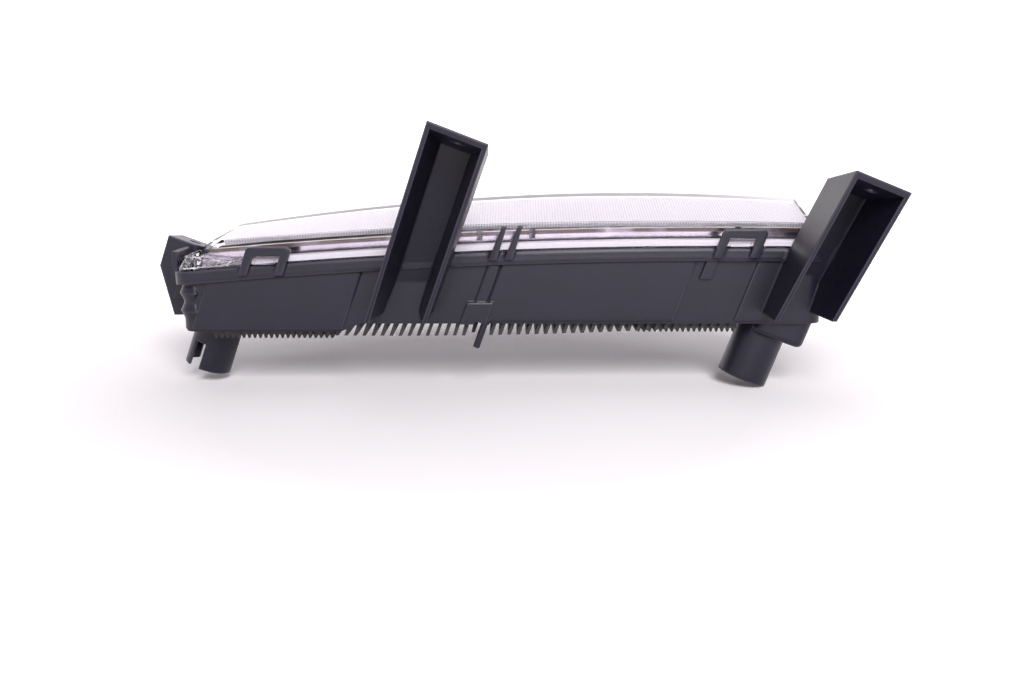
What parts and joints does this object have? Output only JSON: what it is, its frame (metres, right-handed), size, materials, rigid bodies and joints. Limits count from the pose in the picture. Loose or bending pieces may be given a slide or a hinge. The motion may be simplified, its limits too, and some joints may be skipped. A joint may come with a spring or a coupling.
{
  "type": "side repeater light",
  "caption": "Long LED side lamp: black moulded housing with raked screw arms, bowed clear lens, finned heat sink, breather tube and round connector shroud.",
  "frame": {"origin": "root of the locating pin, at the rear edge of the near flank", "axes": "+X along the lamp towards the connector, -Y the side with the two long arms, +Z the way the lens faces"},
  "size_m": [0.3968, 0.1254, 0.1486],
  "materials": {
    "housing_plastic": "fine moulded grain",
    "clear_lens": "clear polycarbonate, fluted",
    "sealant": "cured sealant",
    "chrome_plastic": "vacuum-metallised",
    "board_white": "white solder mask",
    "led_white": "phosphor",
    "led_amber": "tinted",
    "thermal_pad": "soft silicone",
    "black_aluminium": "die-cast, black",
    "gasket_rubber": "foam rubber",
    "steel_screw": "zinc-plated",
    "board_green": "solder mask",
    "component_black": "moulded",
    "capacitor_can": "drawn can",
    "tinned_brass": "tinned",
    "membrane": "porous film"
  },
  "bodies": {
    "root": {"housing": "housing_plastic", "lens": "clear_lens", "lens_sealant": "sealant", "bezel": "chrome_plastic", "running_reflector": "chrome_plastic", "indicator_reflector": "chrome_plastic", "led_board": "board_white", "white_leds": "led_white", "amber_leds": "led_amber", "thermal_pad": "thermal_pad", "heat_sink": "black_aluminium", "heat_sink_gasket": "gasket_rubber", "heat_sink_screws": "steel_screw", "board_screws": "steel_screw", "driver_board": "board_green", "driver_chip": "component_black", "driver_coil": "component_black", "driver_capacitor": "capacitor_can", "board_link": "component_black", "connector_header": "component_black", "connector_terminals": "tinned_brass", "breather_membrane": "membrane"}
  },
  "joints": []
}
